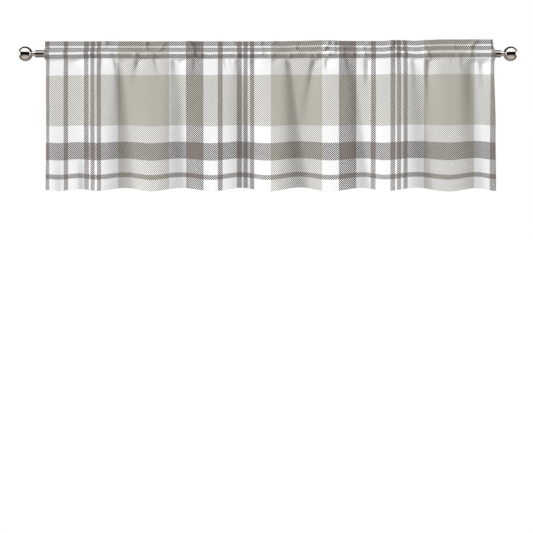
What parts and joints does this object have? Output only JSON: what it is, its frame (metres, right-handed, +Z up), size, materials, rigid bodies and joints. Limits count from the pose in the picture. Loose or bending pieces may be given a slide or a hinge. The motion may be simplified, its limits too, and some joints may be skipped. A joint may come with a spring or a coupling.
{
  "type": "window valance on a curtain rod",
  "caption": "Short gathered cloth valance with a rod pocket and standing header, hanging on a round tube rod with ball finials.",
  "frame": {"origin": "on the rod's axis, at the middle of the rod's length", "axes": "+X along the rod, to the right seen from the front; +Y towards the wall, so the cloth's face looks along -Y; +Z up"},
  "size_m": [1.5294, 0.0444, 0.4649],
  "materials": {
    "printed_cloth": "matt woven cloth printed with a white, beige and taupe plaid",
    "polished_tube": "polished nickel plating on a steel tube",
    "polished_ball": "polished nickel plating on turned balls"
  },
  "bodies": {
    "root": {"valance": "printed_cloth", "rod": "polished_tube", "finial_left": "polished_ball", "finial_right": "polished_ball"}
  },
  "joints": []
}
